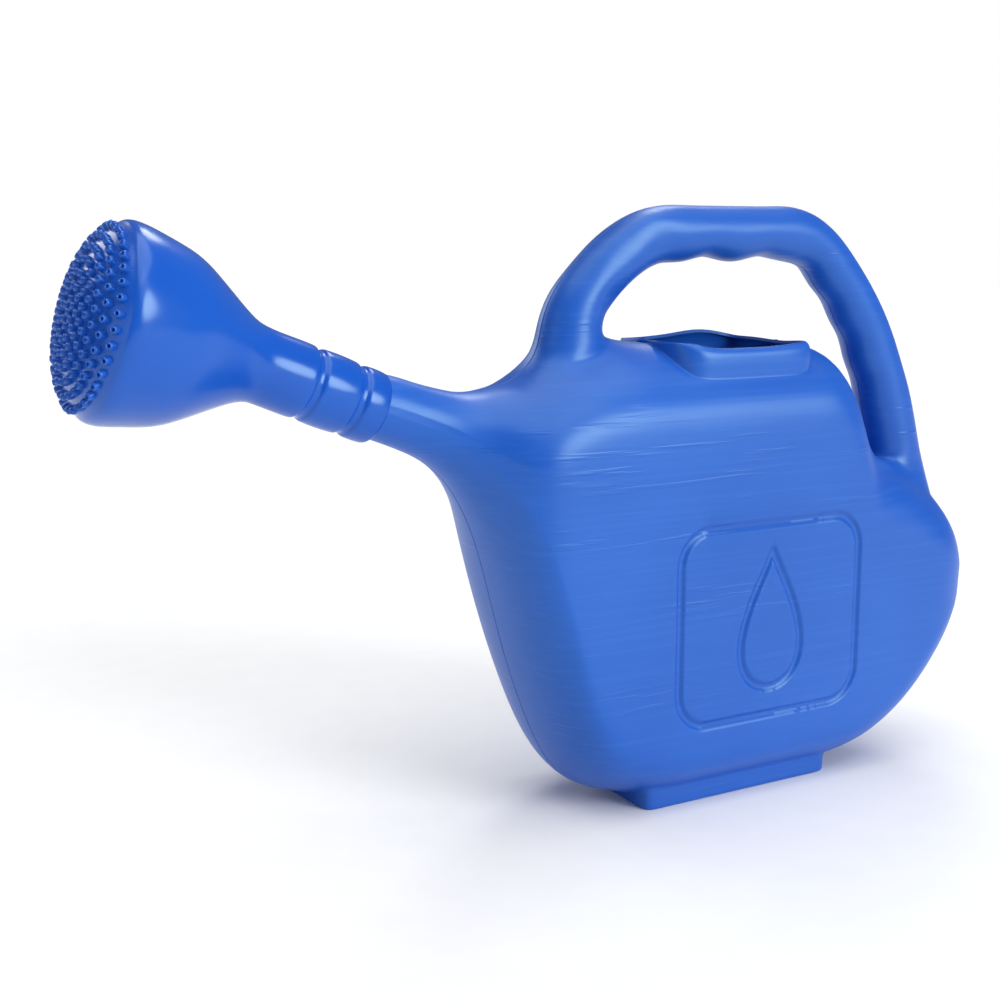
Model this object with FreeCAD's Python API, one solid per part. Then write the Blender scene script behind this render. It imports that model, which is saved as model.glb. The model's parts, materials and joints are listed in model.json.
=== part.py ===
import FreeCAD, Part
import math
import os

# Blow-moulded garden watering can with a push-on soft rose.
# Millimetres. Origin at the middle of the foot's underside, +Z up, spout towards -X, sides at +-Y.

# ---------------------------------------------------------------- driving dimensions

wall = 1.8                    # wall of the can moulding

tank_width = 100.0            # across the two flat sides
tank_top = 257.0              # height of the shoulder
tank_edge = 37.0              # rounding between the sides and everything that runs round them
underside = 2.5               # the tank's underside clears the ground by this
front_low_x = -107.0          # front wall where it meets the underside
front_high_x = -156.5         # front wall where it meets the spout's root
front_high_drop = 92.0        # and how far that is below the shoulder
shoulder_front_x = -130.0     # ends of the straight run along the top
shoulder_rear_x = 73.0
saddle_x = 102.5              # hollow under the handle's rear arm
saddle_drop = 62.0            # and how far that is below the shoulder
lobe_x = 177.5                # rearmost face of the tank
lobe_top_drop = 41.0          # lobe's upper corner below the hollow
lobe_low_x = 90.0             # where the lobe's lower curve starts to lift off the underside
lobe_low_rise = 65.5          # height of the lobe's lower corner above the underside
front_low_round = 70.0        # roundings of the tank's side outline, from the front's foot round
lobe_low_round = 60.0
lobe_rear_round = 74.0
lobe_top_round = 72.0
saddle_round = 40.0
shoulder_rear_round = 42.0
shoulder_front_round = 44.0
front_high_round = 60.0

foot_front_x = -66.0
foot_rear_x = 66.0
foot_width = 76.0
foot_corner = 10.0            # plan rounding of the foot
foot_edge = 3.5               # rounding round its underside
foot_height = 34.0            # the foot's walls run up into the tank's rounding

collar_front_x = -72.0
collar_rear_x = 40.0
collar_width = 80.0
collar_front_corner = 34.0
collar_rear_corner = 8.0
collar_rise = 6.0             # collar's top above the shoulder
collar_skirt = 26.0           # the collar's walls run down into the shoulder's rounding by this
collar_edge = 4.5             # rounding round its top
mouth_lip = 6.5               # width of the lip left round the trimmed filler mouth
mouth_corner = 1.5            # plan rounding at the mouth's rear corners
bridge = 22.0                 # lip between the mouth and the handle's front root

grip_radius = 15.6            # round grip bar
hand_room = 49.0              # from the shoulder up to the underside of the grip
grip_front_x = -38.0
grip_rear_x = 54.0
notch_depth = 2.6             # finger waves under the grip
notch_middle = 7.0            # halfway between the two notches
notch_pitch = 40.0
notch_radius = 30.0
# Ovals of the handle's arms: along X and Z from the bar's end, then how much half the thickness and
# half the width exceed the grip's radius.
front_arm = ((-66, -78, 14, 5), (-65, -64, 8.5, 3), (-60, -47, 4, 1), (-46, -29, 0.5, 0), (-26, -10, 0, 0))
rear_arm = ((32.5, -20.5, 0.5, 0), (52, -43.5, 1, 0), (68.5, -69.5, 2, 0), (80.5, -98, 3, 1),
            (88.5, -130, 4, 2), (91, -160, 6, 3))

spout_tilt = 22.0             # spout's straight end, degrees above the horizontal
spout_diameter = 33.0         # outside of the straight end
spout_straight = 52.0         # length of the straight end, tip to flare
seat_reach = 216.5            # rose's open end, ahead of the origin
seat_drop = 23.2              # and below the shoulder
# Ovals of the horn: along X and Z from where the flare starts, how much half the height exceeds the
# spout's radius, and how much half the width stays under the tank's.
horn_swell = ((33, -10.5, 4, 28.5), (48.5, -17.5, 11, 22), (63.5, -24.5, 18.5, 13), (83, -36, 34, 6),
              (101, -46, 36, 6))
neck_blend = 16.0             # first oval behind the flare's start

rose_clearance = 0.2          # radial, between the spout's end and the rose's bore
rose_wall = 2.2
rose_cant = 4.6               # the bell droops from the neck's line by this, degrees
rose_overlap = 48.0           # how much of the spout's end the neck covers
neck_length = 69.0            # open end to the bell
neck_edge = 0.9               # rounding at the neck's open end
groove_depth = 1.0
groove_width = 4.0
groove_edge = 0.6
groove_places = (15.0, 39.5)  # middles of the two rings of the neck, from its open end
bell_length = 72.0
bell_root = 3.0               # where the bell's cone leaves the neck
bell_root_round = 7.0
bell_waist_round = 20.0
bell_waist = 42.0             # where the bell's steep cone turns into its long lip
bell_waist_radius = 43.8
bell_rim_radius = 48.3
rim_edge = 2.2
rim_gap = 0.1                 # the face stops this short of the bell's inner wall line
face_rise = 20.5              # height of the domed face above the rim

nozzle_radius = 1.9
nozzle_height = 4.0
nozzle_tip = 0.8              # chamfer round each nozzle's tip
spray_bore = 0.6              # radius
nozzle_pitch = 6.7
nozzle_rings = 7

# ---------------------------------------------------------------- small helpers

V = FreeCAD.Vector
Y_AXIS = V(0, 1, 0)
REACH = 1000.0                # longer than anything in the model
OVERRUN = 10.0                # how far a cutting tool or a part that is cut to length runs past


def on_side(a, b):
    """Point of an outline drawn in the plane of symmetry: a along X, b along Z."""
    return V(a, 0, b)


def in_plan(a, b):
    """Point of an outline drawn from above: a along X, b along Y."""
    return V(a, b, 0)


def turn_at(corners, i):
    """Unit directions into and out of corner i, and the signed turn there."""
    count = len(corners)
    here, before, after = corners[i], corners[i - 1], corners[(i + 1) % count]
    into = (here[0] - before[0], here[1] - before[1])
    out = (after[0] - here[0], after[1] - here[1])
    into_length, out_length = math.hypot(*into), math.hypot(*out)
    into = (into[0] / into_length, into[1] / into_length)
    out = (out[0] / out_length, out[1] / out_length)
    turn = math.atan2(into[0] * out[1] - into[1] * out[0], into[0] * out[0] + into[1] * out[1])
    return into, out, turn, into_length, out_length


def outline(corners, plane=on_side):
    """Closed wire of straight runs and tangent arcs through (a, b, radius) corners.
    Where two arcs need more than the run between them has, both get smaller."""
    count = len(corners)
    turns = [turn_at(corners, i) for i in range(count)]
    tangents = [abs(c[2] * math.tan(t[2] / 2)) for c, t in zip(corners, turns)]
    starts, ends, mids = [], [], []
    for i, (a, b, radius) in enumerate(corners):
        into, out, turn, into_length, out_length = turns[i]
        before, after = tangents[i - 1], tangents[(i + 1) % count]
        share = min(1.0, 0.98 * into_length / max(tangents[i] + before, 1e-9),
                    0.98 * out_length / max(tangents[i] + after, 1e-9))
        cut = tangents[i] * share
        bulge = radius * share * (1 / math.cos(turn / 2) - 1)
        across = (out[0] - into[0], out[1] - into[1])
        size = max(math.hypot(*across), 1e-9)
        starts.append(plane(a - into[0] * cut, b - into[1] * cut))
        ends.append(plane(a + out[0] * cut, b + out[1] * cut))
        mids.append(plane(a + across[0] / size * bulge, b + across[1] / size * bulge))
    edges = []
    for i in range(count):
        if corners[i][2] > 0:
            edges.append(Part.Arc(starts[i], mids[i], ends[i]).toShape())
        following = starts[(i + 1) % count]
        if ends[i].distanceToPoint(following) > 1e-4:
            edges.append(Part.LineSegment(ends[i], following).toShape())
    return Part.Wire(edges)


def inset(corners, depth):
    """The same outline drawn depth further in, for corners given anticlockwise."""
    moved = []
    for i, (a, b, radius) in enumerate(corners):
        into, out, turn, _, _ = turn_at(corners, i)
        reach = depth / math.cos(turn / 2)
        normal = (-(into[1] + out[1]), into[0] + out[0])
        size = math.hypot(*normal)
        kept = 0.0 if radius == 0 else max(radius - math.copysign(depth, turn), 0.5)
        moved.append((a + normal[0] / size * reach, b + normal[1] / size * reach, kept))
    return moved


def edges_at(solid, inside):
    """Edges whose every end and middle point passes the test."""
    def points(edge):
        return [edge.valueAt(edge.FirstParameter), edge.valueAt(edge.LastParameter),
                edge.valueAt((edge.FirstParameter + edge.LastParameter) / 2)]
    return [e for e in solid.Edges if all(inside(p) for p in points(e))]


def slab(corners, width, edge):
    """Outline in the plane of symmetry, given its width, with both rims rounded."""
    half = width / 2
    face = Part.Face(outline(corners))
    face.translate(V(0, -half, 0))
    solid = face.extrude(V(0, width, 0))
    rims = edges_at(solid, lambda p: abs(abs(p.y) - half) < 1e-4)
    return solid.makeFillet(min(edge, half - 4 * wall), rims)


def block(corners, low, high):
    """Plan outline raised from low to high."""
    face = Part.Face(outline(corners, in_plan))
    face.translate(V(0, 0, low))
    return face.extrude(V(0, 0, high - low))


def rectangle(front, rear, width, front_corner, rear_corner):
    half = width / 2
    return [(front, -half, front_corner), (rear, -half, rear_corner),
            (rear, half, rear_corner), (front, half, front_corner)]


def rounded_at(solid, height, radius):
    """Rounds the edges that lie at one height."""
    return solid.makeFillet(radius, edges_at(solid, lambda p: abs(p.z - height) < 1e-4))


def oval(station, along, shrink):
    """Ellipse square to the direction along, always started on its in-plane axis."""
    x, z, thick, wide = station
    thick, wide = thick - shrink, wide - shrink
    across = along.cross(Y_AXIS)
    if thick > wide:
        curve, start = Part.Ellipse(V(0, 0, 0), thick, wide), 0.0
        turn = FreeCAD.Rotation(across, Y_AXIS, along, "ZXY")
    else:
        curve, start = Part.Ellipse(V(0, 0, 0), wide, thick), math.pi / 2
        turn = FreeCAD.Rotation(-Y_AXIS, across, along, "ZXY")
    edge = curve.toShape(start, start + 2 * math.pi)
    edge.Placement = FreeCAD.Placement(V(x, 0, z), turn)
    return Part.Wire([edge])


def limb(stations, shrink=0.0):
    """Smooth hollow-ware limb through ovals (x, z, half thickness, half width)."""
    sections = []
    for i, station in enumerate(stations):
        before, after = stations[max(i - 1, 0)], stations[min(i + 1, len(stations) - 1)]
        along = V(after[0] - before[0], 0, after[1] - before[1]).normalize()
        sections.append(oval(station, along, shrink))
    return Part.makeLoft(sections, True, False)


def turned(points, origin, direction):
    """Solid of revolution of (along, radius, rounding) corners about an axis."""
    face = Part.Face(outline(points))
    solid = face.revolve(V(0, 0, 0), V(1, 0, 0), 360)
    solid.Placement = FreeCAD.Placement(origin, FreeCAD.Rotation(V(1, 0, 0), direction))
    return solid


def save(shape, name):
    solids = shape.Solids
    result = solids[0] if len(solids) == 1 else Part.makeCompound(solids)
    result.exportStep("parts/" + name + ".step")
    print(name, "solids", len(solids), "volume", round(shape.Volume))


# ---------------------------------------------------------------- tank

def tank_corners():
    return [
        (front_low_x, underside, front_low_round),
        (lobe_low_x, underside, lobe_low_round),
        (lobe_x, underside + lobe_low_rise, lobe_rear_round),
        (lobe_x, tank_top - saddle_drop - lobe_top_drop, lobe_top_round),
        (saddle_x, tank_top - saddle_drop, saddle_round),
        (shoulder_rear_x, tank_top, shoulder_rear_round),
        (shoulder_front_x, tank_top, shoulder_front_round),
        (front_high_x, tank_top - front_high_drop, front_high_round),
    ]


def tank(shrink=0.0):
    return slab(inset(tank_corners(), shrink), tank_width - 2 * shrink, tank_edge - shrink)


# ---------------------------------------------------------------- foot

def foot(shrink=0.0):
    plan = rectangle(foot_front_x + shrink, foot_rear_x - shrink, foot_width - 2 * shrink,
                     foot_corner - shrink, foot_corner - shrink)
    return rounded_at(block(plan, shrink, foot_height), shrink, foot_edge - shrink / 2)


# ---------------------------------------------------------------- filler collar and mouth

collar_top = tank_top + collar_rise


def collar(shrink=0.0):
    plan = rectangle(collar_front_x + shrink, collar_rear_x - shrink, collar_width - 2 * shrink,
                     collar_front_corner - shrink, collar_rear_corner - shrink)
    top = collar_top - shrink
    return rounded_at(block(plan, tank_top - collar_skirt, top), top, collar_edge - shrink)


def mouth():
    plan = rectangle(collar_front_x + bridge, collar_rear_x - mouth_lip,
                     collar_width - 2 * mouth_lip, collar_front_corner - mouth_lip,
                     mouth_corner)
    return block(plan, tank_top - collar_skirt, collar_top + collar_edge)


# ---------------------------------------------------------------- carrying handle

grip_z = tank_top + hand_room + grip_radius


def handle(shrink=0.0):
    """Front root on the shoulder, grip bar, and a rear arm that comes down to the lobe."""
    def arm(x, ovals):
        return [(x + dx, grip_z + dz, grip_radius + thick, grip_radius + wide)
                for dx, dz, thick, wide in ovals]

    bar_length = grip_rear_x - grip_front_x
    bar = [(grip_front_x + bar_length * k / 4, grip_z, grip_radius, grip_radius) for k in range(5)]
    stations = arm(grip_front_x, front_arm) + bar + arm(grip_rear_x, rear_arm)
    solid = limb(stations, shrink)
    rounding = notch_radius + shrink
    low = grip_z - grip_radius + notch_depth + shrink - rounding
    for x in (notch_middle - notch_pitch / 2, notch_middle + notch_pitch / 2):
        wave = Part.makeCylinder(rounding, tank_width, V(x, -tank_width / 2, low), Y_AXIS)
        solid = solid.cut(wave)
    return solid


# ---------------------------------------------------------------- spout

def direction(tilt):
    return V(-math.cos(math.radians(tilt)), 0, math.sin(math.radians(tilt)))


spout_axis = direction(spout_tilt)
rose_seat = V(-seat_reach, 0, tank_top - seat_drop)
spout_tip = rose_seat + spout_axis * rose_overlap
flare = spout_tip - spout_axis * spout_straight
spout_radius = spout_diameter / 2


def horn(shrink=0.0):
    """Straight end for the rose, flaring into the tank's full width."""
    r = spout_radius
    root = tank_width / 2
    near = flare - spout_axis * neck_blend
    stations = [(flare.x, flare.z, r, r), (near.x, near.z, r + 0.6, r + 1.2)]
    stations += [(flare.x + dx, flare.z + dz, r + swell, root - inside)
                 for dx, dz, swell, inside in horn_swell]
    straight_length = spout_straight + (spout_straight if shrink > 0 else 0)
    straight = Part.makeCylinder(r - shrink, straight_length, flare, spout_axis)
    return [straight, limb(stations, shrink)]


# ---------------------------------------------------------------- rose

bell_axis = direction(spout_tilt - rose_cant)
neck_end = rose_seat + spout_axis * neck_length
mitre = (spout_axis + bell_axis).normalize()
bore_radius = spout_radius + rose_clearance
neck_radius = bore_radius + rose_wall
face_edge = bell_rim_radius - rose_wall - rim_gap
dome_radius = (face_edge ** 2 + face_rise ** 2) / (2 * face_rise)
cone_tilt = math.degrees(math.atan2(bell_waist_radius - neck_radius, bell_waist - bell_root))
rim_centre = neck_end + bell_axis * bell_length
dome_centre = rim_centre + bell_axis * (face_rise - dome_radius)


def beyond_mitre():
    """Everything on the bell's side of the mitre between neck and bell."""
    return Part.makeCylinder(REACH, REACH, neck_end, mitre)


def rose_neck():
    cut_length = neck_length + OVERRUN
    solid = turned([(0, bore_radius, 0), (cut_length, bore_radius, 0),
                    (cut_length, neck_radius, 0), (0, neck_radius, neck_edge)],
                   rose_seat, spout_axis)
    for place in groove_places:
        ring = turned([(place - groove_width / 2, neck_radius - groove_depth, groove_edge),
                       (place + groove_width / 2, neck_radius - groove_depth, groove_edge),
                       (place + groove_width, neck_radius + groove_depth, 0),
                       (place - groove_width, neck_radius + groove_depth, 0)],
                      rose_seat, spout_axis)
        solid = solid.cut(ring)
    return solid.cut(beyond_mitre())


def bell_outside():
    """Half section from the axis outwards: rim, lip, waist, cone and neck."""
    return turned([(-OVERRUN, 0, 0), (bell_length, 0, 0),
                   (bell_length, bell_rim_radius, rim_edge),
                   (bell_waist + 1, bell_waist_radius + rim_gap, 0),
                   (bell_waist, bell_waist_radius, bell_waist_round),
                   (bell_root, neck_radius, bell_root_round),
                   (-OVERRUN, neck_radius, 0)], neck_end, bell_axis)


def bell_inside():
    """The same section a wall further in, open to the front at the face's edge."""
    cone_shift = rose_wall * math.tan(math.radians(cone_tilt / 2))
    return turned([(-OVERRUN, 0, 0), (bell_length + OVERRUN, 0, 0),
                   (bell_length + OVERRUN, face_edge, 0),
                   (bell_length - rim_edge - 1, face_edge, 0),
                   (bell_waist + cone_shift, bell_waist_radius - rose_wall, bell_waist_round),
                   (bell_root + cone_shift, bore_radius, bell_root_round),
                   (-OVERRUN, bore_radius, 0)], neck_end, bell_axis)


def rose_bell():
    return bell_outside().cut(bell_inside()).common(beyond_mitre())


def nozzle_directions():
    """Directions from the dome's centre, ring after ring, with even steps along each ring."""
    found = [(0.0, 0.0)]
    for ring in range(1, nozzle_rings + 1):
        lean = ring * nozzle_pitch / dome_radius
        count = round(2 * math.pi * dome_radius * math.sin(lean) / nozzle_pitch)
        for k in range(count):
            found.append((math.degrees(lean), 360.0 * (k + 0.5 * (ring % 2)) / count))
    return found


def on_dome(shape, lean, around):
    """Copies a shape made on the dome's own axis to its place on the dome."""
    copy = shape.copy()
    copy.rotate(dome_centre, bell_axis.cross(Y_AXIS), lean)
    copy.rotate(dome_centre, bell_axis, around)
    return copy


def rose_face():
    outer = Part.makeSphere(dome_radius, dome_centre)
    inner = Part.makeSphere(dome_radius - rose_wall, dome_centre)
    front = Part.makeCylinder(face_edge, 2 * face_rise, rim_centre - bell_axis * 2 * rose_wall,
                              bell_axis)
    cap = outer.cut(inner).common(front)
    bore = Part.makeCylinder(spray_bore, 4 * rose_wall,
                             dome_centre + bell_axis * (dome_radius - 2 * rose_wall), bell_axis)
    return cap.cut([on_dome(bore, lean, around) for lean, around in nozzle_directions()])


def rose_nozzles():
    length = nozzle_height + rose_wall
    base = dome_centre + bell_axis * (dome_radius - rose_wall)
    stud = Part.makeCylinder(nozzle_radius, length, base, bell_axis)
    top = base + bell_axis * length
    tip = edges_at(stud, lambda p: (p - top).dot(bell_axis) > -1e-4)
    stud = stud.makeChamfer(nozzle_tip, [e for e in tip if e.Length > 1])
    stud = stud.cut(Part.makeSphere(dome_radius, dome_centre))
    stud = stud.cut(Part.makeCylinder(spray_bore, 2 * length, base, bell_axis))
    return Part.makeCompound([on_dome(stud, lean, around) for lean, around in nozzle_directions()])


# ---------------------------------------------------------------- build and write

os.makedirs("parts", exist_ok=True)

tank_outer, tank_inner = tank(), tank(wall)
foot_outer, foot_inner = foot(), foot(wall)
collar_outer, collar_inner = collar(), collar(wall)
handle_outer, handle_inner = handle(), handle(wall)
horn_outer, horn_inner = horn(), horn(wall)
hollow = [tank_inner, foot_inner, collar_inner, mouth(), handle_inner] + horn_inner

save(tank_outer.cut(hollow), "tank_shell")
save(foot_outer.cut([tank_outer] + hollow), "standing_foot")
save(collar_outer.cut([tank_outer] + hollow), "filler_collar")
save(horn_outer[0].fuse(horn_outer[1]).cut([tank_outer] + hollow), "spout")
save(handle_outer.cut([tank_outer, collar_outer] + horn_outer + hollow), "carry_handle")
save(rose_neck(), "rose_neck")
save(rose_bell(), "rose_bell")
save(rose_face(), "rose_face")
save(rose_nozzles(), "rose_nozzles")
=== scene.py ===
# %% [markdown]
# # A plastic garden watering can
# The real thing is two mouldings. The can itself is one hollow blow moulding in satin polyethylene: tank,
# spout, handle, filler collar and foot are a single skin with a parting line round its middle plane.
# The rose is a second, glossier moulding in soft vinyl that pushes over the end of the spout.
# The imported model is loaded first, because it fixes where every piece goes and how large it may be.

import json
import math

import bmesh
import bpy
from mathutils import Matrix, Vector

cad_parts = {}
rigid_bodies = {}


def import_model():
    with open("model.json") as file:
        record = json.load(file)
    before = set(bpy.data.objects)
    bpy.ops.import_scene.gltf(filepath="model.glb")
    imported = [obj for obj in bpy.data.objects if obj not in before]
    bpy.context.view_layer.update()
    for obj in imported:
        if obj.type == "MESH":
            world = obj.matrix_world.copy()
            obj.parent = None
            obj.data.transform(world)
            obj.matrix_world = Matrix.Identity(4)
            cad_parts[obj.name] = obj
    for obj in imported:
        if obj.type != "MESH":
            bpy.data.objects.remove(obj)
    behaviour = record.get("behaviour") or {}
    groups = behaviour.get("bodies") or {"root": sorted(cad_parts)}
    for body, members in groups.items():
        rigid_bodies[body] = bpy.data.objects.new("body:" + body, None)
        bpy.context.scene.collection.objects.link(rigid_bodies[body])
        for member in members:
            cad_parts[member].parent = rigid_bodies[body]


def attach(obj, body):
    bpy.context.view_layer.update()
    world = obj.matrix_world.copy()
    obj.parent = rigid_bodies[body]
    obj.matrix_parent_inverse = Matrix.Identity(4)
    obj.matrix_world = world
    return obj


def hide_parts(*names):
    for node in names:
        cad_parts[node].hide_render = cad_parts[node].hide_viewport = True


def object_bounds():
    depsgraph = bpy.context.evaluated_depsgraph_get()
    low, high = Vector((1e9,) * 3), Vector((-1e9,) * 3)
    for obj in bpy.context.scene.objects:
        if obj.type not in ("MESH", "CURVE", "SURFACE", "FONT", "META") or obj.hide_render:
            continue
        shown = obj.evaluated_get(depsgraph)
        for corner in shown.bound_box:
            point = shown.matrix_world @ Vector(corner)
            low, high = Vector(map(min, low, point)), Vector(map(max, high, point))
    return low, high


for starter in list(bpy.data.objects):         # a new file's cube, lamp and camera
    bpy.data.objects.remove(starter)
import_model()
cad_low, cad_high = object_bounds()

MM = 0.001
print("CAD box in mm:", [round(c / MM, 1) for c in (*cad_low, *cad_high)])

# %% [markdown]
# The camera stands low and to the left of the can, so that the spout comes towards the viewer. The
# light is a plain studio of six distant soft boxes. The two strong ones are in front on the right and
# overhead; weak ones at the front, the left and behind keep the turned-away sides from going flat. Each
# is a sun lamp with a wide angle: it lights a long object evenly from end to end, as point lamps would
# not, and the satin skin shows it as a broad pale band along each rounded edge. The surround gives a
# little even light, and only the camera sees it as white.


# %% Camera
def look_from(name, data, place, target):
    thing = bpy.data.objects.new(name, data)
    bpy.context.scene.collection.objects.link(thing)
    thing.location = place
    thing.rotation_euler = (Vector(target) - Vector(place)).to_track_quat("-Z", "Y").to_euler()
    return thing


view_target, view_distance = Vector((-0.142, 0.0, 0.180)), 0.800
view_azimuth, view_elevation = math.radians(-30), math.radians(10)
view_direction = Vector((math.sin(view_azimuth) * math.cos(view_elevation),
                         -math.cos(view_azimuth) * math.cos(view_elevation),
                         math.sin(view_elevation)))
camera_data = bpy.data.cameras.new("studio_camera")
camera_data.lens, camera_data.sensor_width = 53.28, 36
camera_data.clip_end = 30
camera = look_from("studio_camera", camera_data, view_target + view_direction * view_distance,
                   view_target)
bpy.context.scene.camera = camera
print("camera at", [round(c, 3) for c in camera.location])


# %% Lights and surround
light_distance = 3.0
soft_boxes = [  # name, degrees round from the near side, degrees up, degrees across, power
    ("key_light", 26, 19, 30, 2.0), ("front_light", 10, 45, 36, 0.35), ("top_light", 0, 85, 70, 2.0),
    ("side_light", -84, 12, 34, 0.26), ("back_light", -163, 20, 34, 0.7),
    ("rear_light", 140, 42, 18, 0.5)]

for name, azimuth, elevation, spread, power in soft_boxes:
    data = bpy.data.lights.new(name, "SUN")
    data.energy, data.angle = power, math.radians(spread)
    around, up = math.radians(azimuth), math.radians(elevation)
    look_from(name, data, (light_distance * math.sin(around) * math.cos(up),
                           -light_distance * math.cos(around) * math.cos(up),
                           light_distance * math.sin(up)), (0, 0, 0))

bpy.context.scene.view_settings.view_transform = "Standard"
surround_colour, surround_strength, white = (0.92, 0.96, 1.0, 1.0), 0.17, (1.0, 1.0, 1.0, 1.0)
surround = bpy.data.worlds.new("surround")
surround.use_nodes = True
bpy.context.scene.world = surround
sky = surround.node_tree.nodes
sky["Background"].inputs["Color"].default_value = surround_colour
sky["Background"].inputs["Strength"].default_value = surround_strength
backdrop = sky.new("ShaderNodeBackground")
backdrop.inputs["Color"].default_value = white
shown, seen_by = sky.new("ShaderNodeMixShader"), sky.new("ShaderNodeLightPath")
for end, start in ((shown.inputs[0], seen_by.outputs["Is Camera Ray"]),
                   (shown.inputs[1], sky["Background"].outputs[0]), (shown.inputs[2], backdrop.outputs[0]),
                   (sky["World Output"].inputs["Surface"], shown.outputs[0])):
    surround.node_tree.links.new(start, end)
print("lights:", [row[0] for row in soft_boxes])

# %% [markdown]
# Everything is modelled with the same few moves that a hand would make in edit mode: stand a circle up,
# stretch its halves, lean it, put it in place, and bridge it to the ring before. These helpers hold
# those moves. Selections are made by place or by index, since there is no mouse.


# %% Selecting helpers
def nothing_selected():
    if bpy.context.mode != "OBJECT":
        bpy.ops.object.mode_set(mode="OBJECT")
    bpy.ops.object.select_all(action="DESELECT")


def edit(piece):
    nothing_selected()
    piece.select_set(True)
    bpy.context.view_layer.objects.active = piece
    bpy.ops.object.mode_set(mode="EDIT")
    bpy.ops.mesh.select_all(action="DESELECT")


def pick(kind, test):
    """Selects the vertices, edges or faces of the mesh being edited that pass a test."""
    bpy.ops.mesh.select_mode(type=kind)
    bpy.ops.mesh.select_all(action="DESELECT")
    mesh = bmesh.from_edit_mesh(bpy.context.edit_object.data)
    items = {"VERT": mesh.verts, "EDGE": mesh.edges, "FACE": mesh.faces}[kind]
    items.ensure_lookup_table()
    found = 0
    for item in items:
        if test(item):
            item.select_set(True)
            found += 1
    bmesh.update_edit_mesh(bpy.context.edit_object.data)
    return found


def pick_points(test):
    return pick("VERT", lambda vertex: test(vertex.co))


def pick_faces(test):
    return pick("FACE", lambda face: test(face.calc_center_median()))


def point_count():
    return len(bmesh.from_edit_mesh(bpy.context.edit_object.data).verts)


def new_piece(name):
    """An empty mesh to model in, named for its piece."""
    nothing_selected()
    bpy.ops.mesh.primitive_circle_add(vertices=3, radius=MM)
    piece = bpy.context.object
    piece.name = piece.data.name = name
    edit(piece)
    bpy.ops.mesh.select_all(action="SELECT")
    bpy.ops.mesh.delete(type="VERT")
    return piece


def apply_modifier(piece, kind, **settings):
    nothing_selected()
    piece.select_set(True)
    bpy.context.view_layer.objects.active = piece
    modifier = piece.modifiers.new(kind.lower(), kind)
    for key, value in settings.items():
        setattr(modifier, key, value)
    bpy.ops.object.modifier_apply(modifier=modifier.name)


# %% Standing rings
UPRIGHT = (math.pi / 2, 0.0, math.pi / 2)     # a circle's first corner at the top, its axis along X
MIDDLE = (0.0, 0.0, 0.0)


def standing_ring(top, low, half_width, top_end, low_end, corners):
    """A ring from the point top to the point low of the middle plane. Its ends are half ellipses, and
    straight sides join them. Returns the indices of its corners, the top one first."""
    first = point_count()
    bpy.ops.mesh.primitive_circle_add(vertices=corners, radius=half_width, rotation=UPRIGHT)
    ring = range(first, first + corners)
    run, rise = top[0] - low[0], top[1] - low[1]
    height = math.hypot(run, rise)
    tiny = 0.001 * half_width
    for side, end in ((1, top_end), (-1, low_end)):
        pick("VERT", lambda v: v.index >= first and v.co.z * side > tiny)
        bpy.ops.transform.resize(value=(1, 1, end / half_width), center_override=MIDDLE)
        bpy.ops.transform.translate(value=(0, 0, side * (height / 2 - end)))
    pick("VERT", lambda v: v.index >= first)
    bpy.ops.transform.rotate(value=-math.atan2(run, rise), orient_axis="Y", center_override=MIDDLE)
    bpy.ops.transform.translate(value=((top[0] + low[0]) / 2, 0, (top[1] + low[1]) / 2))
    return ring


def bridge(*rings):
    """Joins rings, or rows of edges, with faces, each to the next."""
    for one, other in zip(rings, rings[1:]):
        both = set(one) | set(other)
        pick("EDGE", lambda e: e.verts[0].index in both and e.verts[1].index in both
             and (e.verts[0].index in one) == (e.verts[1].index in one))
        bpy.ops.mesh.bridge_edge_loops()


# %% [markdown]
# The can's skin is one cage of rings for a subdivision surface, from the round lobe at the back, over the
# flat-sided tank, to the horn that narrows into the spout. Sculpting or joining separate solids were the
# other ways, but a real blow moulding has no joints: every part flows into the next with a soft fillet,
# and a subdivision surface gives exactly that. Each row below is one ring: the top point (x, z), the low
# point (x, z), half the width, and the heights of the rounded top end and low end, all in millimetres.

# %% Rings of the tank and horn
tank_rings = [
    (178.3, 121, 178.3, 101, 2, 10, 10), (176, 140, 175.5, 78, 28, 30, 32),
    (170, 155, 165, 58, 43, 42, 48), (156, 168, 147, 39, 50, 46, 52),
    (139, 175.5, 125, 21, 51, 44, 42), (127, 184, 103, 9.5, 50.5, 44, 36),
    (114, 190.5, 84, 4, 50.5, 46, 32), (102, 202, 66, 2, 50.5, 54, 31),
    (93, 220, 52, 2, 50.5, 64, 31), (83.5, 246, 36, 2, 50.5, 56, 31),
    (66, 258.5, 20, 2, 50.5, 43, 31), (48, 258.2, 8, 2, 50.5, 43, 31),
    (20, 258.2, -10, 2, 50.5, 43, 31), (-4, 258.2, -22, 2, 50.5, 43, 31),
    (-26, 258.2, -34, 2, 50.5, 43, 31), (-48, 258.2, -46, 2, 50.5, 43, 31),
    (-66, 258.4, -58, 2.3, 50.5, 43, 32), (-79, 258.6, -69, 3.2, 50.5, 43, 34),
    (-93, 257, -82, 6.4, 50.5, 43, 38), (-107, 255, -98.5, 12, 50.5, 43, 42),
    (-120, 251, -113, 27, 50.5, 43, 62), (-132, 246.5, -127, 56, 50.3, 43, 86),
    (-141, 243, -139.5, 91, 48.5, 44, 82), (-150, 241.3, -149.5, 129, 43, 41, 60),
    (-159.5, 240, -158, 161, 34.5, 35.5, 43.5), (-169, 240, -170.5, 187, 26.5, 26.8, 26.2),
    (-180, 242.5, -185, 202.5, 21, 20.5, 20.5), (-193, 246, -199.5, 210, 18.3, 18.2, 18.2),
    (-206, 250.8, -218.5, 217.8, 17.2, 17.6, 17.6)]
ring_corners = 22
side_cuts = 5
spout_tilt = math.radians(22)
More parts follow.
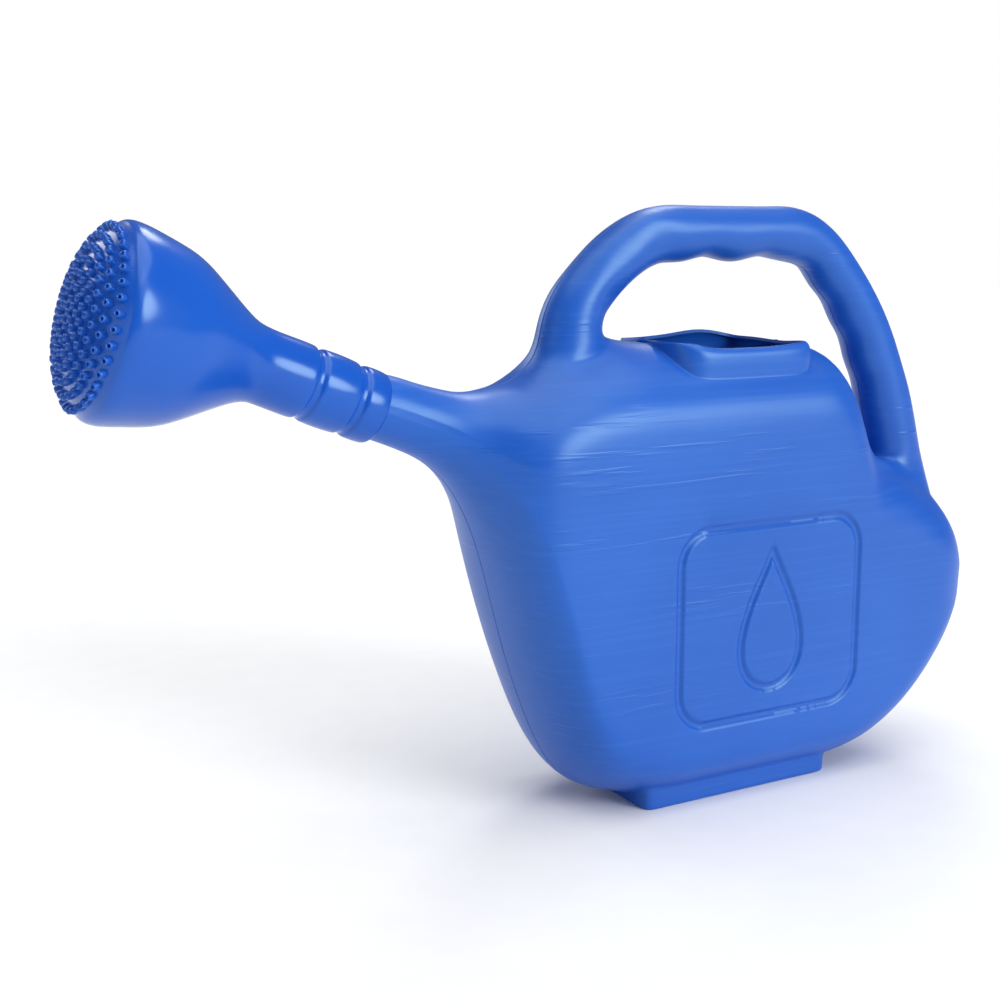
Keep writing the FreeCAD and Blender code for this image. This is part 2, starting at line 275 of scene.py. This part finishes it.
spout_cage = 16.73                            # the finished spout lies a little inside this radius
spout_line = Vector((-math.cos(spout_tilt), 0, math.sin(spout_tilt)))
spout_top = Vector((-math.sin(spout_tilt), 0, -math.cos(spout_tilt))) * -1
seat = Vector((-216.5, 0, 233.8))             # where the rose's open end rests on the spout
spout_end_reach = 48.0

can = new_piece("can_moulding")
rings = []
for row in tank_rings:
    top_x, top_z, low_x, low_z, half_width, top_end, low_end = [value * MM for value in row]
    rings.append(standing_ring((top_x, top_z), (low_x, low_z), half_width, top_end, low_end, ring_corners))
for reach in (12.0, 30.0, spout_end_reach - 3, spout_end_reach):
    middle = (seat + spout_line * reach) * MM
    top, low = middle + spout_top * spout_cage * MM, middle - spout_top * spout_cage * MM
    rings.append(standing_ring((top.x, top.z), (low.x, low.z), spout_cage * MM, spout_cage * MM,
                               spout_cage * MM, ring_corners))
bridge(*rings)
print("can cage:", len(rings), "rings")

# %% [markdown]
# The handle is a round tube with finger waves on its inner side. It is made with the same rings, 12
# corners each, from its front root over the bar to its rear root. A row is the middle (x, z), how far the
# ring's outer side leans back in degrees, half the thickness, half the width and how much of the inner
# side a finger wave takes away.

# %% Rings of the handle
handle_rings = [
    (-99, 260.5, -100, 20.4, 19, 0), (-98.6, 270, -80, 18.6, 17.4, 0), (-95.5, 282, -61, 17.2, 16.5, 0),
    (-86, 293, -47, 16.2, 15.8, 0), (-74.5, 304, -41, 15.8, 15.6, 0), (-61.5, 314, -33, 15.8, 15.6, 0),
    (-47, 320.8, -18, 15.8, 15.6, 0), (-34, 322.2, -3, 15.8, 15.6, -0.6), (-25, 322.2, 0, 15.6, 15.6, -0.6),
    (-17, 322, 0, 15.6, 15.6, 1.4), (-9, 322, 0, 15.6, 15.6, 3.2), (1, 322, 0, 15.6, 15.6, 1.0),
    (11, 322, 0, 15.6, 15.6, -1.0), (21, 322, 0, 15.6, 15.6, 1.0), (31, 322, 0, 15.6, 15.6, 3.2),
    (41, 322.2, 0, 15.6, 15.6, 1.0), (51, 322.6, 4, 15.6, 15.6, -1.0), (64, 320, 20, 15.8, 15.6, -0.4),
    (76.5, 312, 36, 16, 15.6, 3.4), (87.5, 301, 44, 16.1, 15.6, -0.4), (97.5, 289.5, 50, 16.3, 15.6, 3.8),
    (106.5, 278, 54, 16.6, 15.6, -0.4), (114.5, 265.5, 58.5, 17, 15.8, 3.8), (121.5, 252, 63, 17.4, 16, -0.4),
    (127.5, 238, 67, 17.6, 16.2, 3.6), (133.5, 224, 71.5, 18, 16.6, -0.2), (138, 210, 76, 18, 17, 0.8),
    (141.5, 196, 83, 18.4, 17.4, 0), (144.5, 183, 87, 19, 18, 0)]
tube_corners = 12


def cage_growth(corners):
    """How much larger a ring of the cage has to be than the circle that smoothing makes of it."""
    return 6 / (4 + 2 * math.cos(2 * math.pi / corners))


tube_growth = cage_growth(tube_corners)
tube = []
for x, z, lean, thickness, half_width, wave in handle_rings:
    out = Vector((math.sin(math.radians(lean)), math.cos(math.radians(lean)))) * tube_growth
    middle = Vector((x, z))
    top, low = (middle + out * thickness) * MM, (middle - out * (thickness - wave)) * MM
    tube.append(standing_ring(top, low, half_width * tube_growth * MM, thickness * tube_growth * MM,
                              (thickness - wave) * tube_growth * MM, tube_corners))
bridge(*tube)
print("handle cage:", len(tube), "rings")

# %% [markdown]
# The tank's long flat sides are cut lengthwise, so that the smoothing stays near the rounded ends and the
# sides stay flat. Then windows are opened in the top of the tank where the handle lands, and each window
# is bridged to the end of the tube. Both have 12 corners, so the bridge is all quads. The rear window's
# last edges are creased, because the real arm meets the lobe behind it in a corner, not in a fillet.

# %% Cut the long sides, open the windows, land the handle
right_side, left_side = (5, 6), (16, 17)       # corners of a ring at the ends of its flat sides
side_pairs = {frozenset((ring[a], ring[b])) for ring in rings for a, b in (right_side, left_side)}
front_window = {ring[c] for ring in rings[17:22] for c in (21, 0, 1)}
rear_window = {ring[c] for ring in rings[2:7] for c in (21, 0, 1)}
window_sides = {ring[c] for ring in rings[18:21] + rings[2:6] for c in (21, 1)}

window_stretch, corner_crease = 1.35, 0.7
pick("VERT", lambda v: v.index in window_sides)
bpy.ops.transform.resize(value=(1, window_stretch, 1), center_override=MIDDLE)
pick("EDGE", lambda e: frozenset(v.index for v in e.verts) in side_pairs)
bpy.ops.mesh.subdivide(number_cuts=side_cuts)
pick("FACE", lambda f: all(v.index in front_window for v in f.verts)
     or all(v.index in rear_window for v in f.verts))
bpy.ops.mesh.delete(type="FACE")


def pick_rims(test):
    """Selects open edges whose middle passes the test."""
    return pick("EDGE", lambda e: e.is_boundary and test((e.verts[0].co + e.verts[1].co) / 2))


print("front root:", pick_rims(lambda p: -0.145 < p.x < -0.07 and p.z > 0.2), "open edges")
bpy.ops.mesh.bridge_edge_loops()
print("sharp root:", pick_rims(lambda p: 0.16 < p.x < 0.172 and 0.15 < p.z < 0.166), "edges")
bpy.ops.transform.edge_crease(value=corner_crease)
print("rear root:", pick_rims(lambda p: 0.10 < p.x < 0.17 and p.z > 0.15), "open edges")
bpy.ops.mesh.bridge_edge_loops()
pick_points(lambda p: p.x > 0.178)             # the rearmost ring is closed into an edge
bpy.ops.transform.resize(value=(1, 0, 1), center_override=MIDDLE)
bpy.ops.mesh.remove_doubles(threshold=0.01 * MM)
bpy.ops.mesh.select_all(action="SELECT")
bpy.ops.mesh.normals_make_consistent(inside=False)

# %% [markdown]
# The filler collar grows out of the shoulder. First the shoulder's own points are moved: the patch under
# the collar is made a little wider, its front corners are rounded off, and the points in front of it are
# lifted into the bridge that runs to the handle. Then the patch is inset for a crisp foot, extruded and
# flattened twice for the wall, and inset again for the rim. The mouth is cut out, as a knife does on the
# real moulding. The far rim rises in the middle and dips at the back, where that knife wandered.

# %% Ground for the filler collar
collar_back, collar_side = 0.041, 0.0395
row_one, row_two, row_three = -0.066, -0.048, -0.079     # the collar's first ring is row two
shoulder = 0.2                                 # everything on the shoulder is above this height
patch_widening, patch_drop = 1.045, -1.6


def flatten_to(z):
    bpy.ops.transform.resize(value=(1, 1, 0), center_override=(0, 0, z))


def nudge(row, near, far, shift, widen, lift):
    """Moves the shoulder's points of one ring whose y is between near and far, on both sides."""
    pick_points(lambda p: abs(p.x - row) < 0.003 and near < abs(p.y) < far and p.z > shoulder)
    bpy.ops.transform.translate(value=(shift * MM, 0, lift * MM))
    bpy.ops.transform.resize(value=(1, widen, 1), center_override=MIDDLE)


print("patch edge:", pick_points(lambda p: -0.030 < p.x < 0.050 and 0.036 < abs(p.y) < 0.040
                                 and p.z > shoulder), "points")
bpy.ops.transform.resize(value=(1, patch_widening, 1), center_override=MIDDLE)
bpy.ops.transform.translate(value=(0, 0, patch_drop * MM))
nudge(row_two, 0.036, 0.040, 8.0, 1.01, -0.6)  # the collar's front corners are cut off round
nudge(row_two, 0.025, 0.030, 0.5, 1.03, -0.5)
nudge(row_two, -0.001, 0.0165, -3.0, 0.9, 4.4)
for row, lift in ((row_one, 5.8), (row_three, 8.6)):     # the bridge from the collar to the handle
    nudge(row, -0.001, 0.001, 0, 1, lift)
    nudge(row, 0.012, 0.0165, 0, 0.85, lift * 0.8)

# %% Wall and rim of the filler collar
wall_foot, wall_top = 0.2580, 0.2625
exactly, about = 1e-5, 5e-4
everywhere = 1.0                               # farther out than any point

print("collar faces:", pick_faces(lambda p: row_two < p.x < collar_back and abs(p.y) < collar_side
                                  and shoulder < p.z < 0.27))
bpy.ops.mesh.inset(thickness=1.2 * MM, use_even_offset=True)
bpy.ops.mesh.extrude_region_move(TRANSFORM_OT_translate={"value": (0, 0, 2.0 * MM)})
bpy.ops.mesh.extrude_region_move()
flatten_to(wall_foot)
bpy.ops.transform.resize(value=(1.0, 1.015, 1.0), center_override=MIDDLE)
bpy.ops.mesh.extrude_region_move()
flatten_to(wall_top)
bpy.ops.transform.resize(value=(0.985, 0.905, 1.0), center_override=(-0.003, 0, wall_top))
bpy.ops.mesh.inset(thickness=0.9 * MM, use_even_offset=True)

rim_moves = [  # x from and to, y from and to, the points' height and how near to it, lift
    (-everywhere, -0.046, -everywhere, everywhere, wall_foot, exactly, 4.6),    # into the bridge
    (-everywhere, -0.043, -everywhere, everywhere, wall_top, exactly, 0.8),
    (-0.035, 0.025, -everywhere, -0.030, wall_top, exactly, -3.4),              # near rim
    (-0.040, -0.015, 0.012, everywhere, wall_top, about, -0.4),                 # far rim
    (-0.015, 0.008, 0.012, everywhere, wall_top, about, 0.8),
    (0.008, 0.028, 0.012, everywhere, wall_top, about, 4.4),
    (0.028, 0.050, 0.012, everywhere, wall_top, about, -1.6),
    (0.028, everywhere, -0.020, 0.020, wall_top, about, -2.4),                  # rear rim
    (0.028, everywhere, -everywhere, -0.020, wall_top, about, -1.2)]
for x_from, x_to, y_from, y_to, height, slack, lift in rim_moves:
    pick_points(lambda p: x_from < p.x < x_to and y_from < p.y < y_to and abs(p.z - height) < slack)
    bpy.ops.transform.translate(value=(0, 0, lift * MM))

print("mouth faces:", pick_faces(lambda p: row_two < p.x < collar_back and abs(p.y) < 0.031
                                 and wall_foot < p.z < 0.269))
bpy.ops.mesh.inset(thickness=0.8 * MM, use_even_offset=True)
bpy.ops.mesh.delete(type="FACE")

# %% [markdown]
# The standing foot is the same move upside down: the patch under the tank is inset, pushed down and
# flattened twice, so that it ends in a level face with a small rounded edge.

# %% Standing foot
print("foot faces:", pick_faces(lambda p: -0.0685 < p.x < 0.0665 and abs(p.y) < collar_side
                                and p.z < 0.04))
bpy.ops.mesh.inset(thickness=1.3 * MM, use_even_offset=True)
bpy.ops.mesh.extrude_region_move()
flatten_to(2.0 * MM)
bpy.ops.mesh.extrude_region_move()
flatten_to(-0.2 * MM)                          # smoothing lifts this edge to the ground
bpy.ops.transform.resize(value=(0.995, 0.995, 1.0), center_override=MIDDLE)
bpy.ops.mesh.inset(thickness=3.0 * MM, use_even_offset=True)
flatten_to(0.0)
bpy.ops.object.mode_set(mode="OBJECT")
print("can cage:", len(can.data.polygons), "faces")

# %% [markdown]
# Two levels of subdivision round the cage. The two halves of the mould leave a fine line all round the
# middle plane, so the edges on that plane are bevelled into a narrow strip whose middle is pulled
# in. Solidify then gives the skin its wall, inwards, so that the outside keeps its size.

# %% Smooth, parting line, wall
can_wall = 1.8
line_half_width, line_dip = 0.55, 0.6
on_the_middle_plane = 1e-6
apply_modifier(can, "SUBSURF", levels=2, render_levels=2)
edit(can)
print("parting line:", pick("EDGE", lambda e: all(abs(v.co.y) < on_the_middle_plane for v in e.verts)),
      "edges")
bpy.ops.mesh.bevel(offset=line_half_width * MM, segments=2, affect="EDGES")
pick_points(lambda p: abs(p.y) < on_the_middle_plane)
bpy.ops.transform.shrink_fatten(value=-line_dip * MM)
bpy.ops.object.mode_set(mode="OBJECT")
apply_modifier(can, "SOLIDIFY", thickness=can_wall * MM, offset=-1)
print("can skin:", len(can.data.polygons), "faces")

# %% [markdown]
# On each flat side the moulding has a sunk line: a rounded square frame with a plain water drop in it.
# The faces near the line are subdivided first, on the outer skin only, and then their points are moved
# inwards by a rounded profile. A bump in the material would have been less work, but a real groove catches
# light along both of its flanks and is part of the mesh itself.

# %% Emblem on both sides
frame_middle, frame_half, frame_round = (8.0, 105.5), (64.5, 56.0), 20.0
line_depth, line_floor, line_reach = 1.6, 0.8, 3.3     # of the groove: its depth and half widths
drop_height, drop_width, drop_steps = 80.0, 30.0, 90


def drop_outline():
    """Points round a water drop that stands on its round end."""
    points = []
    for step in range(drop_steps):
        turn = 2 * math.pi * step / drop_steps
        x = drop_width * math.sin(turn) * math.sin(turn / 2) ** 1.35
        z = drop_height / 2 * math.cos(turn)
        points.append(Vector((frame_middle[0] + x, frame_middle[1] + z)))
    return points


drop_points = drop_outline()
print("drop:", len(drop_points), "points")


def distance_to_run(point, start, end):
    run = end - start
    share = max(0.0, min(1.0, (point - start).dot(run) / run.length_squared))
    return (point - start - run * share).length


def distance_to_line(x, z):
    """How far a place on the side is from the nearest sunk line, in mm."""
    over = [abs(value - middle) - half + frame_round
            for value, middle, half in zip((x, z), frame_middle, frame_half)]
    outside = math.hypot(max(over[0], 0), max(over[1], 0)) + min(max(over), 0) - frame_round
    nearest = abs(outside)
    if outside < -8:                           # far enough inside the frame to be near the drop
        point = Vector((x, z))
        nearest = min(nearest, min(distance_to_run(point, a, b)
                                   for a, b in zip(drop_points, drop_points[1:] + drop_points[:1])))
    return nearest


# %% Sink the emblem
edit(can)
skin = 49.1 * MM                               # the outer skin's sides lie beyond this
side_reach, face_cuts = 7.5, 6


def near_a_line(face):
    x, z = [face.calc_center_median()[axis] / MM for axis in (0, 2)]
    return (all(abs(vertex.co.y) > skin for vertex in face.verts) and abs(face.normal.y) > 0.9
            and abs(x - frame_middle[0]) < frame_half[0] + side_reach
            and abs(z - frame_middle[1]) < frame_half[1] + side_reach
            and distance_to_line(x, z) < side_reach)


print("emblem faces:", pick("FACE", near_a_line))
bpy.ops.mesh.subdivide(number_cuts=face_cuts)
moved = 0
mesh = bmesh.from_edit_mesh(can.data)
for vertex in mesh.verts:
    x, z = vertex.co.x / MM, vertex.co.z / MM
    if vertex.select and abs(vertex.co.y) > skin:
        share = (line_reach - distance_to_line(x, z)) / (line_reach - line_floor)
        share = max(0.0, min(1.0, share))
        vertex.co.y -= math.copysign(line_depth * MM * share * share * (3 - 2 * share), vertex.co.y)
        moved += share > 0
bmesh.update_edit_mesh(can.data)
bpy.ops.object.mode_set(mode="OBJECT")
nothing_selected()
can.select_set(True)
bpy.context.view_layer.objects.active = can
bpy.ops.object.shade_smooth_by_angle(angle=math.radians(32))
print("emblem:", moved, "points pulled in; can skin:", len(can.data.polygons), "faces")

# %% [markdown]
# The rose is turned, but not about one line: its neck follows the spout, its bell droops a few degrees
# from it, and its rim and face look down a little more again. So it is a row of rings once more, flat
# circles this time, each square to its own line, where spinning one outline would have made it straight.
# The row runs from the middle of the face over the rim and down the outside, turns in at the open end of
# the neck, and comes back up the inside. That gives the wall its real thickness and leaves a bore for
# the spout.

# %% Lines and outline of the rose
bell_droop, face_lean = math.radians(4.6), math.radians(2.2)    # below the spout, and below the bell
bell_tilt = spout_tilt - bell_droop
face_tilt = bell_tilt - face_lean
bell_line = Vector((-math.cos(bell_tilt), 0, math.sin(bell_tilt)))
neck_length, bell_length = 69.0, 74.0
neck_end = seat + spout_line * neck_length
rim_middle = neck_end + bell_line * bell_length
face_line = Vector((-math.cos(face_tilt), 0, math.sin(face_tilt)))
rose_wall, bore = 2.2, 16.75

# Each pair is a distance along the line and a radius.
neck_outside = [(0.0, 17.3), (0.3, 18.2), (1.6, 18.9), (6, 19.2), (11.2, 19.0), (12.5, 18.7), (13.2, 17.7),
                (14.0, 17.45), (16.0, 17.45), (16.8, 17.7), (17.5, 18.7), (18.8, 19.0), (27, 19.4),
                (35.6, 19.1), (37, 18.8), (37.7, 17.8), (38.5, 17.5), (40.5, 17.5), (41.3, 17.8),
                (42, 18.8), (43.4, 19.1), (50, 19.1), (58, 18.9), (64, 18.9)]
bell_outside = [(-1, 19.2), (3.5, 20.3), (8, 22.4), (13, 25.3), (19, 29.0), (25, 32.8), (31, 36.5),
                (36, 39.4), (40.5, 41.5), (45, 43.1), (51, 44.6), (58, 46.1), (63.5, 47.3), (68, 48.0),
                (71.5, 48.2), (74.2, 47.8), (75.8, 47.0)]
lean_start, lean_end = 54.0, 71.5              # where on the bell its rings start and end leaning
face_steps = [45.6, 43.8, 41, 37.5, 33, 28, 22.5, 16.5, 10.5, 4]
print("rim middle in mm:", [round(c, 1) for c in rim_middle])

# %% Rings of the rose
turned_corners = 24
turned_growth = cage_growth(turned_corners)
face_edge, face_rise = 47.4, 15.5
face_squareness, face_softness = 3.5, 0.8      # a ball would be close to 2 and 1
print("a ring of the rose has", turned_corners, "corners, and is", round(turned_growth, 3), "times as large")


def flat_ring(line, middle, radius):
    """A circle square to a line of the middle plane. Places are in millimetres."""
    first = point_count()
    turn = math.atan2(line.x, line.z)
    bpy.ops.mesh.primitive_circle_add(vertices=turned_corners, radius=radius * turned_growth * MM,
                                      location=middle * MM, rotation=(0, turn, 0))
    return range(first, first + turned_corners)


def bell_ring(along, radius):
    """A ring of the bell. Towards the rim the rings lean over, until they are square to the face."""
    share = max(0.0, min(1.0, (along - lean_start) / (lean_end - lean_start)))
    tilt = bell_tilt - face_lean * share
    return flat_ring(Vector((-math.cos(tilt), 0, math.sin(tilt))), neck_end + bell_line * along, radius)


def face_height(radius):
    """How far the face stands out in front of the rim: a dome, fuller near its edge than a ball is."""
    return face_rise * (1 - (radius / face_edge) ** face_squareness) ** face_softness


def face_rings(radii, sunk):
    """Rings of the face, or of its inner side, which is sunk by the wall."""
    return [flat_ring(face_line, rim_middle + face_line * (face_height(radius) - sunk),
                      radius * (1 - sunk / face_edge)) for radius in radii]


# %% Skin of the rose
rose = new_piece("rose_moulding")
bore_steps = (0.4, 2.0, 12, 30, 50, 64)
turned = face_rings(face_steps[::-1], 0.0)
turned += [bell_ring(along, radius) for along, radius in bell_outside[::-1]]
turned += [flat_ring(spout_line, seat + spout_line * along, radius) for along, radius in neck_outside[::-1]]
turned += [flat_ring(spout_line, seat + spout_line * along, bore) for along in bore_steps]
turned += [bell_ring(along, max(radius - rose_wall, bore)) for along, radius in bell_outside[:-3]]
turned += face_rings(face_steps, rose_wall)
bridge(*turned)
for ring in (turned[0], turned[-1]):
    pick("VERT", lambda v: v.index in ring)
    bpy.ops.mesh.edge_face_add()
    bpy.ops.mesh.poke()
bpy.ops.mesh.select_all(action="SELECT")
bpy.ops.mesh.normals_make_consistent(inside=False)
bpy.ops.object.mode_set(mode="OBJECT")
apply_modifier(rose, "SUBSURF", levels=2, render_levels=2)
bpy.ops.object.shade_smooth_by_angle(angle=math.radians(40))
print("rose:", len(turned), "rings,", len(rose.data.polygons), "faces")

# %% [markdown]
# The face carries many small hollow studs. One is modelled, with a rounded tip and a spray hole, out of
# a few dozen faces because it repeats so often. It is then copied in rings over the dome, each copy
# square to the dome, and the copies are joined into one piece.

# %% One nozzle stud
stud_corners = 10
stud_outline = [(-0.9, 2.25), (1.9, 1.95), (2.8, 1.65), (3.1, 1.15), (2.6, 0.7), (0.8, 0.6)]

stud = new_piece("rose_nozzle_studs")
stud_rings = []
for height, radius in stud_outline:            # up the outside, over the tip, down the spray hole
    first = point_count()
    bpy.ops.mesh.primitive_circle_add(vertices=stud_corners, radius=radius * MM, location=(0, 0, height * MM))
    stud_rings.append(range(first, first + stud_corners))
bridge(*stud_rings)
for ring in (stud_rings[0], stud_rings[-1]):
    pick("VERT", lambda v: v.index in ring)
    bpy.ops.mesh.edge_face_add()
bpy.ops.mesh.select_all(action="SELECT")
bpy.ops.mesh.normals_make_consistent(inside=False)
bpy.ops.object.mode_set(mode="OBJECT")
bpy.ops.object.shade_smooth_by_angle(angle=math.radians(50))
print("one stud:", len(stud.data.polygons), "faces")

# %% Copy the studs over the face
stud_rows, row_gap, stud_gap = 7, 6.25, 7.1     # rows round the middle stud, and gaps along the slope
short_step = 0.1
copies = []
to_face = face_line.to_track_quat("Z", "Y").to_matrix().to_4x4()
out = 0.0
for ring in range(stud_rows + 1):
    lean = math.atan((face_height(out) - face_height(out + short_step)) / short_step)
    count = max(1, round(2 * math.pi * out / stud_gap))
    for step in range(count):
        around = 2 * math.pi * (step + 0.5 * (ring % 2)) / count
        copy = stud.copy()
        copy.data = stud.data.copy()
        bpy.context.scene.collection.objects.link(copy)
        copy.data.transform(Matrix.Translation(rim_middle * MM) @ to_face @ Matrix.Rotation(around, 4, "Z")
                            @ Matrix.Translation((out * MM, 0, face_height(out) * MM))
                            @ Matrix.Rotation(lean, 4, "Y"))
        copies.append(copy)
    out += row_gap * math.cos(lean)
nothing_selected()
bpy.data.objects.remove(stud)
for copy in copies:
    copy.select_set(True)
studs = copies[0]
bpy.context.view_layer.objects.active = studs
bpy.ops.object.join()
studs.name = studs.data.name = "rose_nozzle_studs"
print("studs:", len(copies), "with", len(studs.data.polygons), "faces")

# %% [markdown]
# The two plastics differ in finish. The can is polyethylene blown against a blasted mould: satin, a bit
# cloudy, with fine drag marks that run along the sides where the soft tube was drawn out. The rose is soft
# vinyl cast in a polished mould: deeper in colour and glossy. Both are procedural, on object coordinates,
# so that they stay with the piece. The class below lets shader sums be written as plain expressions.


# %% Shader writing
class Shade:
    """One output socket of a material's nodes. Sums on it add Math nodes."""

    def __init__(self, tree, socket):
        self.tree, self.socket = tree, socket

    def maths(self, operation, *values):
        return node(self.tree, "ShaderNodeMath", {"operation": operation}, dict(enumerate(values)))

    def __add__(self, other):
        return self.maths("ADD", self, other)

    def __mul__(self, other):
        return self.maths("MULTIPLY", self, other)

    __radd__, __rmul__ = __add__, __mul__


def node(tree, kind, settings, values, output=0):
    """Adds a node, sets it, then fills its sockets with numbers or links. Returns one of its outputs."""
    made = tree.nodes.new(kind)
    for key, value in settings.items():
        setattr(made, key, value)
    for key, value in values.items():
        if isinstance(value, Shade):
            tree.links.new(value.socket, made.inputs[key])
        else:
            made.inputs[key].default_value = value
    return Shade(tree, made.outputs[output])


def mix_colour(tree, share, one, other):
    return node(tree, "ShaderNodeMix", {"data_type": "RGBA"}, {0: share, 6: one, 7: other}, 2)


def noise(tree, place, stretch, scale, detail):
    mapped = node(tree, "ShaderNodeMapping", {}, {0: place, 3: stretch})
    return node(tree, "ShaderNodeTexNoise", {}, {"Vector": mapped, "Scale": scale, "Detail": detail})


def between(tree, value, low, high):
    """0 where the value is under low, 1 where it is over high, and smooth in between."""
    return node(tree, "ShaderNodeMapRange", {"interpolation_type": "SMOOTHSTEP"}, {0: value, 1: low, 2: high})


def new_finish(name):
    material = bpy.data.materials.new(name)
    material.use_nodes = True
    tree = material.node_tree
    place = node(tree, "ShaderNodeTexCoord", {}, {}, "Object")
    return material, tree, tree.nodes["Principled BSDF"], place


def plug(tree, shader, socket, value):
    tree.links.new(value.socket, shader.inputs[socket])


even = (1, 1, 1)                               # a pattern that isn't stretched


# %% Satin polyethylene
def satin_polyethylene():
    deep_blue, mid_blue = (0.006, 0.078, 0.440, 1), (0.009, 0.092, 0.480, 1)
    rubbed_blue = (0.030, 0.15, 0.60, 1)
    material, tree, shader, place = new_finish("satin_polyethylene")
    cloud = noise(tree, place, even, 9.0, 3.0)
    drag = noise(tree, place, (7, 60, 420), 1.0, 4.0)
    wrinkle = noise(tree, place, (16, 30, 330), 1.0, 2.0)
    patches = between(tree, noise(tree, place, (2.2, 3, 11), 2.6, 1.0), 0.46, 0.62)
    fine = noise(tree, place, even, 900.0, 2.0)
    ridges = between(tree, wrinkle, 0.56, 0.72) * patches
    colour = mix_colour(tree, between(tree, cloud, 0.3, 0.7), deep_blue, mid_blue)
    colour = mix_colour(tree, between(tree, drag, 0.45, 0.75) * 0.18, colour, rubbed_blue)
    plug(tree, shader, "Base Color", colour)
    plug(tree, shader, "Roughness", 0.30 + 0.10 * drag + 0.05 * cloud)
    height = drag * 0.35 + ridges * 0.9 + fine * 0.05
    bump = node(tree, "ShaderNodeBump", {}, {"Strength": 0.30, "Distance": 0.0006, "Height": height})
    plug(tree, shader, "Normal", bump)
    shader.inputs["Specular IOR Level"].default_value = 0.58
    shader.inputs["Specular Tint"].default_value = (0.66, 1.0, 0.92, 1)
    return material


# %% Glossy vinyl
def glossy_vinyl():
    deep_blue, mid_blue = (0.005, 0.072, 0.430, 1), (0.008, 0.088, 0.480, 1)
    material, tree, shader, place = new_finish("glossy_vinyl")
    cloud = noise(tree, place, even, 14.0, 2.0)
    smear = noise(tree, place, even, 60.0, 3.0)
    plug(tree, shader, "Base Color", mix_colour(tree, between(tree, cloud, 0.3, 0.7), deep_blue, mid_blue))
    plug(tree, shader, "Roughness", 0.16 + 0.12 * smear)
    bump = node(tree, "ShaderNodeBump", {}, {"Strength": 0.25, "Distance": 0.0008,
                                             "Height": cloud * 0.8 + smear * 0.15})
    plug(tree, shader, "Normal", bump)
    shader.inputs["Specular Tint"].default_value = (0.72, 1.0, 0.95, 1)
    return material


for material, pieces in ((satin_polyethylene(), (can,)), (glossy_vinyl(), (rose, studs))):
    for piece in pieces:
        piece.data.materials.clear()
        piece.data.materials.append(material)
    print(material.name, "on", [piece.name for piece in pieces])

# %% [markdown]
# The floor is a plain pale sheet at the height of the foot's underside, large enough to run out of every
# view. It is part of the studio and not of the can.

# %% Floor
floor_size, floor_grey, floor_pale = 14, (0.86, 0.86, 0.86, 1), (0.90, 0.90, 0.90, 1)
nothing_selected()
bpy.ops.mesh.primitive_plane_add(size=floor_size, location=(0, 0, cad_low.z))
floor = bpy.context.object
floor.name = floor.data.name = "studio_floor"
floor_material, floor_tree, floor_shader, floor_place = new_finish("pale_floor")
plug(floor_tree, floor_shader, "Base Color",
     mix_colour(floor_tree, noise(floor_tree, floor_place, even, 40.0, 2.0), floor_grey, floor_pale))
floor_shader.inputs["Roughness"].default_value = 0.7
floor.data.materials.append(floor_material)
print(floor.name, "at z =", round(cad_low.z / MM, 2), "mm")

# %% [markdown]
# Last, each piece is attached to the body it moves with, and the parts of the packed model that the pieces
# replace are hidden. The can is one body. The rose and its studs are the other, which slides off along the
# spout.

# %% Finish
for piece, body, slot in ((can, "can", "can_plastic"), (rose, "rose", "rose_vinyl"),
                          (studs, "rose", "rose_vinyl")):
    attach(piece, body)
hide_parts("tank_shell", "standing_foot", "filler_collar", "carry_handle", "spout")
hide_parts("rose_neck", "rose_bell", "rose_face")
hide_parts("rose_nozzles")
